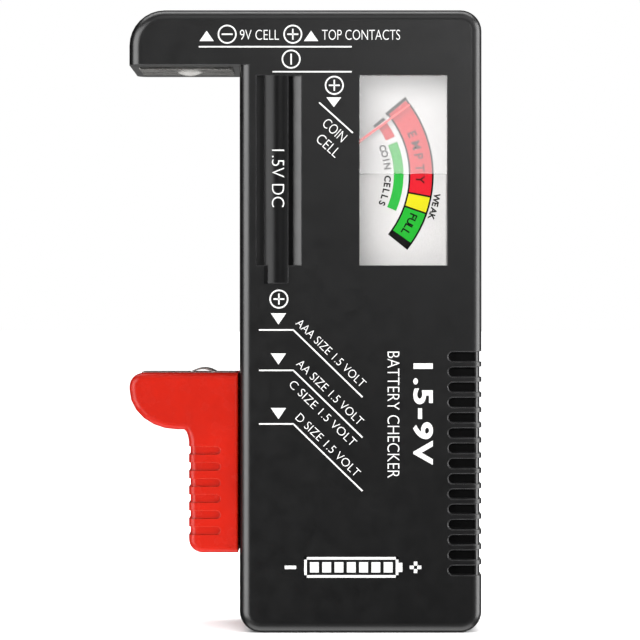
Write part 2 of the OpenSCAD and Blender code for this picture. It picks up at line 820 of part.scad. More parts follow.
// Arched ridge across the strip, a segment of a cylinder along Y standing on height z
module bump(x, z, r, h) {
    intersection() {
        rod(x, z + h - r, [slider_strip_d[0] + 0.5, slider_strip_d[1] - 0.5], r);
        block([x - r, x + r], slider_strip_d, [z - 0.02, z + h + 1]);
    }
}

module slider_keeper() {
    color([0.15, 0.15, 0.16]) difference() {
        block(keeper_x, keeper_d, keeper_z);
        keeper_screw_cut();
    }
}

// Spring brush on the keeper that touches the rail
module slider_brush() {
    x = keeper_x[1];
    reach = rail_x[0] - 0.03 - x;
    z = keeper_z[0] + 1;
    finger = concat(
        arc(x, z + 6, reach, 5, -90, 90, 12),
        arc(x, z + 6, reach - brush_t, 5 - brush_t, 90, -90, 12));
    color(brass) {
        difference() {
            block([x, x + brush_t], [12.2, 19.2], [z, z + 12]);
            keeper_screw_cut();
        }
        slab([16.4, 19.1]) polygon(finger);
    }
}

// Two small screws that clamp the brush and the keeper to the tongue
module keeper_screws() {
    x = keeper_x[1] + brush_t;
    color(steel) for (z = keeper_screw_z) {
        translate([x, front_y + keeper_screw_d, z])
            rotate([0, 90, 0]) cylinder(h = 0.65, r = 1.4);
        translate([x - 5, front_y + keeper_screw_d, z])
            rotate([0, 90, 0]) cylinder(h = 5 + eps, r = 0.75);
    }
}

// Turns what is drawn along +X about the meter axis to an angle above the horizontal
module at_axis(angle) {
    translate([axis_x, 0, axis_z]) rotate([0, -angle, 0]) children();
}

// Outline of the pointer's tail and two cross arms
module pointer_arms() {
    translate([-3.6, -0.3]) square([3.6, 0.6]);
    translate([-0.3, -2.7]) square([0.6, 5.4]);
}

// Pointer: hub, tapering needle, tail and two cross arms
module pointer() {
    d = [pointer_d, pointer_d + pointer_t];
    color([0.85, 0.1, 0.08]) at_axis(pointer_rest) difference() {
        slab(d) {
            polygon([[0, -0.4], [pointer_l, -0.11], [pointer_l, 0.11], [0, 0.4]]);
            pointer_arms();
            circle(r = 1.2);
        }
        rod(0, 0, [0, 10], pivot_r + 0.02);
    }
}

// Balance weights slipped over the pointer's tail and cross arms
module balance_weights() {
    mid_y = front_y + pointer_d + pointer_t / 2;
    color(brass) at_axis(pointer_rest) difference() {
        union() {
            translate([-3.6, mid_y, 0]) rotate([0, 90, 0]) cylinder(h = 1, r = 0.7);
            for (side = [0, 180]) rotate([0, side, 0])
                translate([0, mid_y, 2.1]) cylinder(h = 0.6, r = 0.55);
        }
        slab([pointer_d, pointer_d + pointer_t]) pointer_arms();
    }
}

// Rectangular loop round the core, half_w wide each side of the axis
module loop(half_w, d, t, w) {
    difference() {
        block([-half_w - t, half_w + t], [d[0] - t, d[1] + t], [-w / 2, w / 2]);
        block([-half_w, half_w], d, [-w, w]);
    }
}

module coil_former() {
    color(aluminium) at_axis(pointer_rest) loop(former_in, former_d, former_t, former_w);
}

module moving_coil() {
    d = [former_d[0] - former_t, former_d[1] + former_t];
    color([0.72, 0.38, 0.18]) at_axis(pointer_rest)
        loop(former_in + former_t, d, winding_t, winding_w);
}

// A pivot pin on each end of the coil, with a cone tip in its jewel
module pivots() {
    front = [3.95, coil_front_d];
    rear = [coil_back_d, 16.85];
    tip = 0.5;
    color(steel) {
        rod(axis_x, axis_z, [front[0] + tip, front[1]], pivot_r);
        translate([axis_x, front_y + front[0] + tip + eps, axis_z])
            rotate([90, 0, 0]) cylinder(h = tip, r1 = pivot_r, r2 = 0.06);
        rod(axis_x, axis_z, [rear[0], rear[1] - tip], pivot_r);
        translate([axis_x, front_y + rear[1] - tip - eps, axis_z])
            rotate([-90, 0, 0]) cylinder(h = tip, r1 = pivot_r, r2 = 0.06);
    }
}

// Flat spiral spring about the axis, from its collet to its outer end
module hairspring(d) {
    turns = 3.25;
    steps = 78;
    r0 = 0.95;
    r1 = 2.8;
    t = 0.12;
    inner = [for (k = [0:steps]) let (a = 360 * turns * k / steps, r = r0 + (r1 - r0) * k / steps)
        [r * cos(a), r * sin(a)]];
    outer = [for (k = [steps:-1:0]) let (a = 360 * turns * k / steps,
        r = t + r0 + (r1 - r0) * k / steps) [r * cos(a), r * sin(a)]];
    color(brass) translate([axis_x, 0, axis_z]) {
        slab([d, d + hairspring_t]) polygon(concat(inner, outer));
        difference() {
            rod(0, 0, [d, d + hairspring_t], r0 + t / 2);
            rod(0, 0, [d - 1, d + 1], pivot_r + 0.02);
        }
    }
}

module hairspring_front() { hairspring(5.45); }

module hairspring_rear() { hairspring(16.05); }

front_shell();
rear_shell();
window_lens();
dial_plate();
meter_frame();
meter_yoke();
core_magnet();
core_bracket();
front_bridge();
rear_bridge();
front_jewel();
rear_jewel();
arm_contact();
nine_volt_negative();
nine_volt_positive();
contact_rail();
circuit_board();
resistors();
housing_screws();
meter_screws();
board_screws();
arm_lead();
negative_lead();
positive_lead();
rail_lead();
meter_lead();
slider_knob();
slider_contact();
slider_keeper();
slider_brush();
keeper_screws();
pointer();
balance_weights();
coil_former();
moving_coil();
pivots();
hairspring_front();
hairspring_rear();
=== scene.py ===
import json
import math
import bmesh
import bpy
from mathutils import Matrix, Vector

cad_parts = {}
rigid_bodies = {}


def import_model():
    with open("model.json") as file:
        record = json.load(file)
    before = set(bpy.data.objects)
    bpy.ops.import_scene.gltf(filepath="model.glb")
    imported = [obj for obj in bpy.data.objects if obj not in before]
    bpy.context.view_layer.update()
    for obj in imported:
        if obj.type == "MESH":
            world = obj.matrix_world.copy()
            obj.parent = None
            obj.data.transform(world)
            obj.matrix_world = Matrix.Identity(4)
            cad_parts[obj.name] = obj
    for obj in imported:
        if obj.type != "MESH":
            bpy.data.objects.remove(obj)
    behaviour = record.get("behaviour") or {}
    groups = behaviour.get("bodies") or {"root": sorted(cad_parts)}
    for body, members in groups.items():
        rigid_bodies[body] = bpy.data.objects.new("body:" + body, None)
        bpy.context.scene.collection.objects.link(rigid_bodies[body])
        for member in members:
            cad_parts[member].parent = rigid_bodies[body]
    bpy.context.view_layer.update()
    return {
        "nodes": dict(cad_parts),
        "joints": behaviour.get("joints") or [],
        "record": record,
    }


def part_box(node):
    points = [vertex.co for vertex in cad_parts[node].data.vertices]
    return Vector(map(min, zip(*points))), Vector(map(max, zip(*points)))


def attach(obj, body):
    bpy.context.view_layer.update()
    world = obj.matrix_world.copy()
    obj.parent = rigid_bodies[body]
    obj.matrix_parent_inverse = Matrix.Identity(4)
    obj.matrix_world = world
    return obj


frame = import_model()

# ---------------------------------------------------------------- places and sizes, in metres

MM = 0.001
NODES = frame["nodes"]
SCENE = bpy.context.scene
LENS_SET_BACK = 0.15 * MM
FACE_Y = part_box("window_lens")[0][1] - LENS_SET_BACK
DIAL_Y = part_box("dial_plate")[0][1]
CASE_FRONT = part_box("front_shell")[0][1]
PIVOT = next(j for j in frame["joints"] if j["name"] == "pointer_turn")["pos_m"]
INK = 0.02 * MM
# The case's printed marks are measured from here, a little above the foot
PRINT_ORIGIN = (0.0, 0.4 * MM)

# Rounded rib along the trough: its axis, radius and the box round it
RIB_X = -4.76 * MM
RIB_R = 3.4 * MM
RIB_Y = CASE_FRONT + RIB_R
RIB_LOW = (RIB_X - 2.45 * MM, CASE_FRONT - 1 * MM, 60.95 * MM)
RIB_HIGH = (RIB_X + 1.8 * MM, FACE_Y + 0.3 * MM, 97.3 * MM)
# The box that holds the floors of the grip's pockets
POCKETS_LOW = (24.9 * MM, FACE_Y + 0.6 * MM, 9.9 * MM)
POCKETS_HIGH = (29.8 * MM, FACE_Y + 2.6 * MM, 49.3 * MM)


# ---------------------------------------------------------------- material building blocks

class Paint:
    """Builds one node material; each method adds nodes and returns an output socket."""

    def __init__(self, name, rough=0.5, metal=0.0, specular=0.5):
        self.material = bpy.data.materials.new(name)
        self.material.use_nodes = True
        self.tree = self.material.node_tree
        self.shader = self.tree.nodes["Principled BSDF"]
        self.shader.inputs["Roughness"].default_value = rough
        self.shader.inputs["Metallic"].default_value = metal
        self.shader.inputs["Specular IOR Level"].default_value = specular
        self.coords = self.add("ShaderNodeTexCoord").outputs["Object"]

    def add(self, kind, **settings):
        node = self.tree.nodes.new(kind)
        for key, value in settings.items():
            setattr(node, key, value)
        return node

    def link(self, source, target):
        self.tree.links.new(source, target)

    def plug(self, source, name):
        self.link(source, self.shader.inputs[name])

    def stretched(self, scale):
        """Object coordinates scaled by a different amount on each axis."""
        node = self.add("ShaderNodeMapping")
        node.inputs["Scale"].default_value = scale
        self.link(self.coords, node.inputs["Vector"])
        return node.outputs["Vector"]

    def noise(self, size, detail=4.0, vector=None):
        """Noise whose features are about size metres across."""
        node = self.add("ShaderNodeTexNoise")
        node.inputs["Scale"].default_value = 1.0 / size
        node.inputs["Detail"].default_value = detail
        self.link(vector or self.coords, node.inputs["Vector"])
        return node.outputs["Fac"]

    def bands(self, pitch, axis):
        """A sine wave that repeats every pitch metres along an axis."""
        node = self.add("ShaderNodeTexWave", bands_direction=axis)
        node.inputs["Scale"].default_value = math.pi / (10.0 * pitch)
        self.link(self.coords, node.inputs["Vector"])
        return node.outputs["Fac"]

    def ramp(self, value, low, high, bottom, top):
        """Maps value from low..high to bottom..top, held at both ends."""
        node = self.add("ShaderNodeMapRange")
        for name, number in (("From Min", low), ("From Max", high),
                             ("To Min", bottom), ("To Max", top)):
            node.inputs[name].default_value = number
        self.link(value, node.inputs["Value"])
        return node.outputs["Result"]

    def blend(self, amount, first, second):
        """Colour that goes from first to second with amount."""
        node = self.add("ShaderNodeMix", data_type="RGBA")
        self.link(amount, node.inputs["Factor"])
        for socket, colour in ((node.inputs[6], first), (node.inputs[7], second)):
            if isinstance(colour, tuple):
                socket.default_value = (*colour, 1.0)
            else:
                self.link(colour, socket)
        return node.outputs[2]

    def inside(self, low, high):
        """1 inside a box and 0 outside it."""
        soft = 0.05 * MM
        split = self.add("ShaderNodeSeparateXYZ")
        self.link(self.coords, split.inputs[0])
        result = None
        for axis in range(3):
            place = split.outputs[axis]
            for value in (self.ramp(place, low[axis] - soft, low[axis], 0.0, 1.0),
                          self.ramp(place, high[axis], high[axis] + soft, 1.0, 0.0)):
                result = self.math("MULTIPLY", result, value) if result else value
        return result

    def math(self, operation, first, second):
        """Arithmetic on two values."""
        node = self.add("ShaderNodeMath", operation=operation)
        for socket, value in zip(node.inputs, (first, second)):
            if isinstance(value, float):
                socket.default_value = value
            else:
                self.link(value, socket)
        return node.outputs[0]

    def edges(self, radius):
        """1 along sharp edges, falling to 0 a radius away from them."""
        rounded = self.add("ShaderNodeBevel", samples=4)
        rounded.inputs["Radius"].default_value = radius
        flat = self.add("ShaderNodeNewGeometry")
        dot = self.add("ShaderNodeVectorMath", operation="DOT_PRODUCT")
        self.link(rounded.outputs["Normal"], dot.inputs[0])
        self.link(flat.outputs["Normal"], dot.inputs[1])
        return self.ramp(dot.outputs["Value"], 0.80, 0.995, 1.0, 0.0)

    def bump(self, height, depth, round_edges=0.0):
        """Surface relief of depth metres, over edges softened by round_edges metres."""
        node = self.add("ShaderNodeBump")
        node.inputs["Distance"].default_value = depth
        self.link(height, node.inputs["Height"])
        if round_edges:
            rounded = self.add("ShaderNodeBevel", samples=4)
            rounded.inputs["Radius"].default_value = round_edges
            self.link(rounded.outputs["Normal"], node.inputs["Normal"])
        self.plug(node.outputs["Normal"], "Normal")


DULL_SHARE = 0.35


def plastic(name, colour, edge_sheen_and_wear, rough, grain_size, grain_depth, specular=0.5, dull=()):
    """Moulded plastic: fine grain, faint colour drift, and sharp edges painted lighter in patches,
    a painted highlight that also stands for wear.

    dull lists the boxes of regions that keep only DULL_SHARE of the gloss.
    """
    p = Paint(name, rough, 0.0, specular)
    drift = p.ramp(p.noise(14 * MM, 3), 0.35, 0.65, 0.0, 1.0)
    shade = p.blend(drift, colour, tuple(c * 0.86 for c in colour))
    # Painted highlight, partly wear: sharp edges blend towards the lighter edge colour, in patches
    sheen_and_wear_edges = p.edges(0.22 * MM)
    patchy = p.ramp(p.noise(1.6 * MM, 5), 0.42, 0.62, 0.35, 1.0)
    p.plug(p.blend(p.math("MULTIPLY", sheen_and_wear_edges, patchy), shade, edge_sheen_and_wear), "Base Color")
    p.plug(p.ramp(p.noise(2.5 * MM, 6), 0.3, 0.7, rough - 0.02, rough + 0.03), "Roughness")
    amount = None
    for low, high in dull:
        part = p.inside(low, high)
        amount = p.math("MAXIMUM", amount, part) if amount else part
    if amount:
        p.plug(p.ramp(amount, 0.0, 1.0, specular, specular * DULL_SHARE), "Specular IOR Level")
    p.bump(p.noise(grain_size, 3), grain_depth, 0.20 * MM)
    return p.material


def metal(name, colour, tarnish, rough, brushed):
    """Metal with fine brushing along one axis, soft tarnish and a painted highlight that brightens
    its sharp edges.
    """
    p = Paint(name, rough, 1.0)
    lines = p.noise(0.5 * MM, 2, p.stretched(brushed))
    spots = p.ramp(p.noise(1.8 * MM, 5), 0.50, 0.80, 0.0, 0.6)
    base = p.blend(spots, colour, tarnish)
    # Painted highlight: the colour is lifted by 15 % along sharp edges
    edge_glint = tuple(min(1.0, c * 1.15) for c in colour)
    p.plug(p.blend(p.edges(0.12 * MM), base, edge_glint), "Base Color")
    p.plug(p.ramp(lines, 0.3, 0.7, rough - 0.04, rough + 0.06), "Roughness")
    p.bump(lines, 0.0005 * MM, 0.08 * MM)
    return p.material


def ink(name, colour, thin):
    """Screen-printed ink, a little uneven, that lets some of the ground through."""
    p = Paint(name, 0.55, 0.0, 0.1)
    cover = p.ramp(p.noise(0.35 * MM, 6), 0.28, 0.44, 0.20, 0.0)
    p.plug(p.blend(cover, colour, thin), "Base Color")
    p.plug(p.ramp(p.noise(0.9 * MM, 4), 0.3, 0.7, 0.45, 0.65), "Roughness")
    p.bump(p.noise(0.12 * MM, 2), 0.004 * MM)
    return p.material


def rubber(name, colour):
    """Soft wire insulation with a faint extruded grain and dust."""
    p = Paint(name, 0.6, 0.0, 0.4)
    dust = p.ramp(p.noise(1.2 * MM, 6), 0.5, 0.8, 0.0, 0.35)
    p.plug(p.blend(dust, colour, (0.45, 0.43, 0.40)), "Base Color")
    p.plug(p.ramp(p.noise(0.8 * MM, 4), 0.3, 0.7, 0.5, 0.7), "Roughness")
    p.bump(p.noise(0.15 * MM, 3), 0.008 * MM)
    return p.material


def card(name, colour):
    """Smooth white card with a faint fibre."""
    p = Paint(name, 0.7, 0.0, 0.1)
    fibre = p.noise(0.25 * MM, 5, p.stretched((1.0, 1.0, 0.35)))
    p.plug(p.blend(p.ramp(fibre, 0.4, 0.7, 0.0, 1.0), colour, tuple(c * 0.95 for c in colour)),
           "Base Color")
    p.plug(p.ramp(fibre, 0.3, 0.7, 0.62, 0.78), "Roughness")
    p.bump(fibre, 0.004 * MM)
    return p.material


def clear(name):
    """Clear acrylic: light goes straight through, and only its outer gloss shows."""
    p = Paint(name)
    smears = p.noise(5 * MM, 5)
    through = p.add("ShaderNodeBsdfTransparent")
    through.inputs["Color"].default_value = (0.98, 0.975, 0.972, 1.0)
    shine = p.add("ShaderNodeBsdfGlossy")
    p.link(p.ramp(smears, 0.4, 0.7, 0.004, 0.012), shine.inputs["Roughness"])
    fresnel = p.add("ShaderNodeFresnel")
    fresnel.inputs["IOR"].default_value = 1.49
    side = p.add("ShaderNodeNewGeometry")
    outward = p.math("SUBTRACT", 1.0, side.outputs["Backfacing"])
    mixed = p.add("ShaderNodeMixShader")
    p.link(p.math("MULTIPLY", fresnel.outputs["Fac"], outward), mixed.inputs["Fac"])
    p.link(through.outputs["BSDF"], mixed.inputs[1])
    p.link(shine.outputs["BSDF"], mixed.inputs[2])
    p.link(mixed.outputs["Shader"], p.tree.nodes["Material Output"].inputs["Surface"])
    return p.material


def winding(name, colour):
    """Enamelled wire wound in even turns, with painted shade in the grooves between them."""
    p = Paint(name, 0.3, 0.9)
    turns = p.bands(0.12 * MM, "Y")
    # Painted shade: the colour falls to 0.35 of itself in the grooves between turns
    p.plug(p.blend(turns, tuple(c * 0.35 for c in colour), colour), "Base Color")
    p.plug(p.ramp(p.noise(0.6 * MM), 0.3, 0.7, 0.22, 0.42), "Roughness")
    p.bump(turns, 0.03 * MM)
    return p.material


def board(name, colour):
    """Green solder mask over faint copper tracks."""
    p = Paint(name, 0.35)
    tracks = p.add("ShaderNodeTexBrick")
    tracks.inputs["Scale"].default_value = 110.0
    tracks.inputs["Mortar Size"].default_value = 0.06
    p.link(p.coords, tracks.inputs["Vector"])
    lighter = tuple(c * 1.7 for c in colour)
    p.plug(p.blend(tracks.outputs["Fac"], colour, lighter), "Base Color")
    p.plug(p.ramp(p.noise(1.5 * MM), 0.3, 0.7, 0.28, 0.45), "Roughness")
    p.bump(p.noise(0.3 * MM), 0.01 * MM)
    return p.material


def jewel(name, colour):
    """Polished synthetic ruby."""
    p = Paint(name, 0.08)
    p.shader.inputs["Coat Weight"].default_value = 0.6
    p.plug(p.blend(p.noise(0.4 * MM), colour, tuple(c * 0.6 for c in colour)), "Base Color")
    p.plug(p.ramp(p.noise(0.2 * MM), 0.3, 0.7, 0.05, 0.14), "Roughness")
    return p.material


MATERIALS = {
    # Each plastic's second colour is painted on its sharp edges: a painted highlight, partly wear
    "case_black": plastic("black_abs", (0.0045, 0.0045, 0.0048), (0.060, 0.060, 0.062),
                          0.31, 0.16 * MM, 0.006 * MM, 0.45,
                          ((RIB_LOW, RIB_HIGH), (POCKETS_LOW, POCKETS_HIGH))),
    "slider_red": plastic("red_abs", (0.56, 0.010, 0.0010), (0.68, 0.060, 0.030),
                          0.26, 0.20 * MM, 0.004 * MM, 0.17),
    "dark_plastic": plastic("black_nylon", (0.030, 0.030, 0.032), (0.08, 0.08, 0.08),
                            0.5, 0.14 * MM, 0.012 * MM),
    "lens_clear": clear("clear_acrylic"),
    "dial_white": card("dial_card", (0.37, 0.37, 0.369)),
    "nickel": metal("nickel_plate", (0.70, 0.69, 0.66), (0.48, 0.46, 0.42), 0.26,
                    (0.12, 1.0, 1.0)),
    "brass": metal("stamped_brass", (0.78, 0.58, 0.26), (0.48, 0.32, 0.14), 0.30,
                   (1.0, 1.0, 0.12)),
    "steel": metal("zinc_steel", (0.56, 0.57, 0.58), (0.36, 0.35, 0.34), 0.32,
                   (1.0, 0.12, 1.0)),
    "magnet_grey": metal("magnet", (0.20, 0.20, 0.21), (0.10, 0.09, 0.08), 0.5,
                         (1.0, 1.0, 1.0)),
    "aluminium": metal("thin_aluminium", (0.80, 0.81, 0.82), (0.60, 0.60, 0.60), 0.34,
                       (1.0, 0.12, 1.0)),
    "copper_winding": winding("enamelled_wire", (0.72, 0.30, 0.12)),
    "jewel_red": jewel("ruby", (0.45, 0.01, 0.05)),
    "pointer_red": plastic("red_lacquer", (0.70, 0.03, 0.03), (0.85, 0.2, 0.2),
                           0.35, 0.10 * MM, 0.003 * MM),
    "board_green": board("solder_mask", (0.015, 0.12, 0.04)),
    "resistor_tan": plastic("resistor_lacquer", (0.62, 0.44, 0.24), (0.75, 0.60, 0.40),
                            0.35, 0.20 * MM, 0.010 * MM),
    "wire_black": rubber("black_insulation", (0.02, 0.02, 0.02)),
    "wire_blue": rubber("blue_insulation", (0.02, 0.05, 0.30)),
    "wire_red": rubber("red_insulation", (0.50, 0.02, 0.02)),
    "wire_yellow": rubber("yellow_insulation", (0.65, 0.45, 0.03)),
}
WHITE_INK = ink("white_ink", (0.86, 0.86, 0.85), (0.30, 0.30, 0.30))
BLACK_INK = ink("black_ink", (0.003, 0.003, 0.003), (0.024, 0.024, 0.024))
RED_INK = ink("red_ink", (0.345, 0.006, 0.012), (0.35, 0.024, 0.033))
YELLOW_INK = ink("yellow_ink", (0.365, 0.345, 0.005), (0.37, 0.35, 0.05))
GREEN_INK = ink("green_ink", (0.008, 0.22, 0.015), (0.026, 0.26, 0.044))
PALE_GREEN_INK = ink("pale_green_ink", (0.014, 0.225, 0.028), (0.044, 0.26, 0.066))
DULL_RED_INK = ink("dull_red_ink", (0.045, 0.005, 0.005), (0.10, 0.018, 0.018))


# ---------------------------------------------------------------- CAD nodes

SHARP_ANGLE = math.radians(32)
FLAT_ANGLE = math.radians(0.4)


def smooth_group():
    """Geometry nodes that smooth all faces and keep edges sharper than SHARP_ANGLE."""
    tree = bpy.data.node_groups.new("smooth_by_angle", "GeometryNodeTree")
    tree.interface.new_socket("Geometry", in_out="INPUT", socket_type="NodeSocketGeometry")
    tree.interface.new_socket("Geometry", in_out="OUTPUT", socket_type="NodeSocketGeometry")
    add = tree.nodes.new
    start, end = add("NodeGroupInput"), add("NodeGroupOutput")
    faces = add("GeometryNodeSetShadeSmooth")
    faces.domain = "FACE"
    edges = add("GeometryNodeSetShadeSmooth")
    edges.domain = "EDGE"
    edges.inputs["Shade Smooth"].default_value = False
    angle = add("GeometryNodeInputMeshEdgeAngle")
    sharp = add("FunctionNodeCompare")
    sharp.operation = "GREATER_THAN"
    sharp.inputs[1].default_value = SHARP_ANGLE
    link = tree.links.new
    link(start.outputs[0], faces.inputs["Geometry"])
    link(faces.outputs[0], edges.inputs["Geometry"])
    link(angle.outputs["Unsigned Angle"], sharp.inputs[0])
    link(sharp.outputs[0], edges.inputs["Selection"])
    link(edges.outputs[0], end.inputs[0])
    return tree


SMOOTH = smooth_group()


def refine(obj):
    """Clean shading without touching the mesh: weld, flat faces whole, smooth rounds."""
    normals = obj.data.attributes.get("custom_normal")
    if normals:
        obj.data.attributes.remove(normals)
    weld = obj.modifiers.new("weld", "WELD")
    weld.merge_threshold = 0.0005 * MM
    flat = obj.modifiers.new("whole_faces", "DECIMATE")
    flat.decimate_type = "DISSOLVE"
    flat.angle_limit = FLAT_ANGLE
    smooth = obj.modifiers.new("smooth", "NODES")
    smooth.node_group = SMOOTH
    even = obj.modifiers.new("even", "WEIGHTED_NORMAL")
    even.keep_sharp = True
    even.weight = 100


def finish_nodes():
    """Gives every CAD node its slot's material and clean shading."""
    slots = {s["node"]: s["material_slot"] for s in frame["record"]["subparts"]}
    for name, obj in NODES.items():
        material = MATERIALS[slots[name]]
        obj.data.materials.clear()
        obj.data.materials.append(material)
        refine(obj)


finish_nodes()


# ---------------------------------------------------------------- printed marks

class Print:
    """Collects thin raised outlines, drawn in x and z millimetres, on a plane facing the front."""

    def __init__(self, y, centre):
        self.mesh = bmesh.new()
        self.y = y
        self.centre = Vector((centre[0], 0.0, centre[1]))

    def place(self, x, z, height):
        """A point given in millimetres on the plane, height metres in front of it."""
        return Vector((x * MM, self.y - height, z * MM)) + self.centre

    def outline(self, points):
        """A closed flat shape, given counter-clockwise, as a thin solid."""
        front = [self.mesh.verts.new(self.place(x, z, INK)) for x, z in points]
        back = [self.mesh.verts.new(self.place(x, z, -INK)) for x, z in points]
        self.mesh.faces.new(front)
        self.mesh.faces.new(back[::-1])
        for i in range(len(points)):
            j = (i + 1) % len(points)
            self.mesh.faces.new((front[j], front[i], back[i], back[j]))

    def bar(self, x0, z0, x1, z1, width):
        """A straight stroke between two points."""
        along = Vector((x1 - x0, z1 - z0)).normalized() * width / 2
        side = Vector((-along.y, along.x))
        self.outline([(x0 - side.x, z0 - side.y), (x1 - side.x, z1 - side.y),
                      (x1 + side.x, z1 + side.y), (x0 + side.x, z0 + side.y)])

    def sector(self, x, z, inner, outer, start, end):
        """Part of a ring, from angle start to angle end in degrees."""
        steps = max(2, math.ceil(abs(end - start) / 4))
        turn = [math.radians(start + (end - start) * k / steps) for k in range(steps + 1)]
        if end < start:
            turn.reverse()
        arc = [(x + outer * math.cos(a), z + outer * math.sin(a)) for a in turn]
        arc += [(x + inner * math.cos(a), z + inner * math.sin(a)) for a in reversed(turn)]
        self.outline(arc)

    def ring(self, x, z, outer, width):
        """A whole ring, as two half rings."""
        for start in (0, 180):
            self.sector(x, z, outer - width, outer, start, start + 180)

    def triangle(self, x, z, width, height):
        """A solid triangle about its middle; a negative height points down."""
        base, tip, half = z - height / 2, z + height / 2, width / 2
        points = [(x - half, base), (x + half, base), (x, tip)]
        self.outline(points if height > 0 else points[::-1])

    def words(self, text, x, z, cap, width=None, angle=0.0, bold=-0.012, gap=1.0):
        """Capital letters, cap high and width wide, centred on x, z and turned by angle.

        bold fattens the strokes, and gap widens the letters' spacing.
        """
        shape = letter_mesh(text, bold, gap)
        low, high = shape_box(shape)
        tall = cap / (high.y - low.y)
        wide = width / (high.x - low.x) if width else tall
        turn = Matrix.Rotation(math.radians(angle), 2)
        start = len(self.mesh.verts)
        self.mesh.from_mesh(shape)
        self.mesh.verts.ensure_lookup_table()
        for vert in self.mesh.verts[start:]:
            flat = Vector(((vert.co.x - (low.x + high.x) / 2) * wide,
                           (vert.co.y - (low.y + high.y) / 2) * tall))
            flat = turn @ flat
            side = 1 if vert.co.z > 0 else -1
            vert.co = self.place(x + flat.x, z + flat.y, side * INK)
        bpy.data.meshes.remove(shape)

    def curved_words(self, text, radius, start, end, cap, bold):
        """Letters spread round the origin from angle start to angle end, tops outwards."""
        step = (end - start) / max(1, len(text) - 1)
        for k, letter in enumerate(text):
            if letter == " ":
                continue
            a = start + k * step
            x = radius * math.cos(math.radians(a))
            z = radius * math.sin(math.radians(a))
            self.words(letter, x, z, cap, angle=a - 90, bold=bold)

    def build(self, name, body, material, bend=None):
        """Makes the collected shapes one piece on a body."""
        bmesh.ops.remove_doubles(self.mesh, verts=self.mesh.verts, dist=0.0004 * MM)
        bmesh.ops.recalc_face_normals(self.mesh, faces=self.mesh.faces)
        if bend:
            bend(self.mesh)
        data = bpy.data.meshes.new(name)
        self.mesh.to_mesh(data)
        self.mesh.free()
        return add_piece(name, data, body, material)


PIECES = {}


def add_piece(name, data, body, material):
    """A new visible piece that rides on a body."""
    piece = bpy.data.objects.new(name, data)
    PIECES[name] = piece
    SCENE.collection.objects.link(piece)
    data.materials.append(material)
    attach(piece, body)
    return piece


def letter_mesh(text, bold, gap):
    """A text as a solid mesh from z -0.5 to 0.5, in font units."""
    curve = bpy.data.curves.new("letters", "FONT")
    curve.body = text
    curve.space_character = gap
    curve.extrude = 0.5
    curve.offset = bold
    curve.resolution_u = 5
    holder = bpy.data.objects.new("letters", curve)
    SCENE.collection.objects.link(holder)
    bpy.context.view_layer.update()
    graph = bpy.context.evaluated_depsgraph_get()
    shape = bpy.data.meshes.new_from_object(holder.evaluated_get(graph))
    bpy.data.objects.remove(holder)
    bpy.data.curves.remove(curve)
    return shape


def shape_box(shape):
    """Lowest and highest corner of a mesh."""
    points = [v.co for v in shape.vertices]
    return (Vector([min(p[i] for p in points) for i in range(3)]),
            Vector([max(p[i] for p in points) for i in range(3)]))


LINE = 0.26
POLE_R = 1.65


def pole_mark(marks, x, z, bars):
    """A ring with a horizontal bar, a vertical bar or both in it."""
    marks.ring(x, z, POLE_R, LINE)
    reach = POLE_R * 0.58
    if "h" in bars:
        marks.bar(x - reach, z, x + reach, z, LINE)
    if "v" in bars:
        marks.bar(x, z - reach, x, z + reach, LINE)


def nine_volt_print():
    """Row along the top that points at the two nine-volt pads."""
    marks = Print(FACE_Y, PRINT_ORIGIN)
    for x in (-17.2, 1.0):
        marks.triangle(x, 103.7, 2.5, 1.8)
    pole_mark(marks, -13.63, 104.0, "h")
    pole_mark(marks, -2.19, 104.0, "hv")
    marks.words("9V CELL", -8.0, 103.9, 1.75, 6.8)
    marks.words("TOP CONTACTS", 9.7, 103.9, 1.75, 13.6)
    marks.bar(-18.56, 101.82, 8.07, 101.82, LINE)
    marks.build("nine_volt_print", "case", WHITE_INK)


def button_cell_print():
    """Marks between the trough and the window."""
    marks = Print(FACE_Y, PRINT_ORIGIN)
    pole_mark(marks, -2.48, 99.66, "v")
    marks.bar(-5.74, 97.46, 8.07, 97.46, LINE)
    pole_mark(marks, 5.04, 95.1, "hv")
    marks.triangle(4.96, 92.15, 2.6, -1.7)
    marks.bar(2.41, 92.1, 8.28, 86.8, LINE)
    marks.words("COIN", 5.1, 87.3, 1.75, 4.6, -42)
    marks.words("CELL", 4.0, 84.6, 1.75, 4.6, -42)
    marks.build("button_cell_print", "case", WHITE_INK)


def cell_size_print():
    """Pointing lines for the slider's place at each cell size."""
    marks = Print(FACE_Y, PRINT_ORIGIN)
    pole_mark(marks, -4.61, 57.85, "hv")
    knee, reach, fall = -2.1, 12.04, 11.7
    for z, point in ((52.47, 54.4), (45.43, 47.4), (36.09, 37.9)):
        marks.triangle(-4.69, point, 2.65, -1.95)
        marks.bar(-8.09, z, knee + LINE / 3, z, LINE)
        marks.bar(knee, z, knee + reach, z - fall, LINE)
    slope = math.degrees(math.atan2(-fall, reach))
    labels = (("AAA SIZE 1.5 VOLT", 4.45, 48.45, 16.0), ("AA SIZE 1.5 VOLT", 4.3, 41.6, 15.3),
              ("C SIZE 1.5 VOLT", 3.05, 37.95, 15.4), ("D SIZE 1.5 VOLT", 3.95, 32.4, 14.7))
    for text, x, z, width in labels:
        marks.words(text, x, z, 1.45, width, slope)
    marks.build("cell_size_print", "case", WHITE_INK)


def title_print():
    """Upright wording on the lower right, read with the case on its side."""
    marks = Print(FACE_Y, PRINT_ORIGIN)
    marks.words("BATTERY CHECKER", 15.35, 37.7, 2.1, 22.0, -90)
    marks.words("1.5-9V", 20.5, 37.8, 3.5, 17.7, -90, bold=0.03, gap=1.15)
    marks.build("title_print", "case", WHITE_INK)


